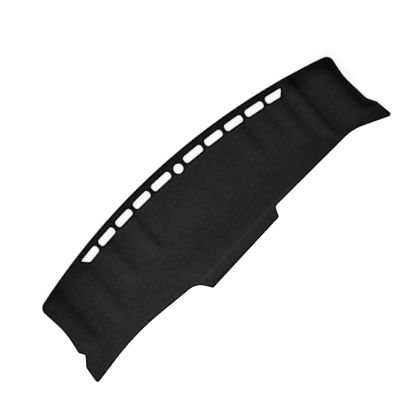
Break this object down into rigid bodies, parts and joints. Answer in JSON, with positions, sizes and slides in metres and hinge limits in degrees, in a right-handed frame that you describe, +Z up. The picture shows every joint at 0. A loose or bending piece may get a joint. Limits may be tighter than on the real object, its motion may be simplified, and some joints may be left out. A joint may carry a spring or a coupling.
{
  "type": "dashboard cover mat",
  "caption": "Dashboard cover mat of black felt, cut to the plan of a dashboard with a row of defroster slots and a round sensor hole, overlocked along its edges and lying with soft waves.",
  "frame": {"origin": "the middle of the bounding box's base, on the floor that the mat lies on", "axes": "+X runs to the right along the mat's length, +Y to its rear edge, at the windscreen, +Z up from the floor"},
  "size_m": [1.4946, 0.474, 0.031],
  "materials": {
    "felt": "black needled polyester felt, matt, with a soft grey bloom",
    "thread": "black overlock stitching of textured polyester yarn"
  },
  "bodies": {
    "root": {"mat_panel": "felt", "edge_binding": "thread", "sensor_hole_edging": "thread", "vent_edging_left_1": "thread", "vent_edging_left_2": "thread", "vent_edging_left_3": "thread", "vent_edging_left_4": "thread", "vent_edging_left_5": "thread", "vent_edging_right_1": "thread", "vent_edging_right_2": "thread", "vent_edging_right_3": "thread", "vent_edging_right_4": "thread", "vent_edging_right_5": "thread"}
  },
  "joints": []
}
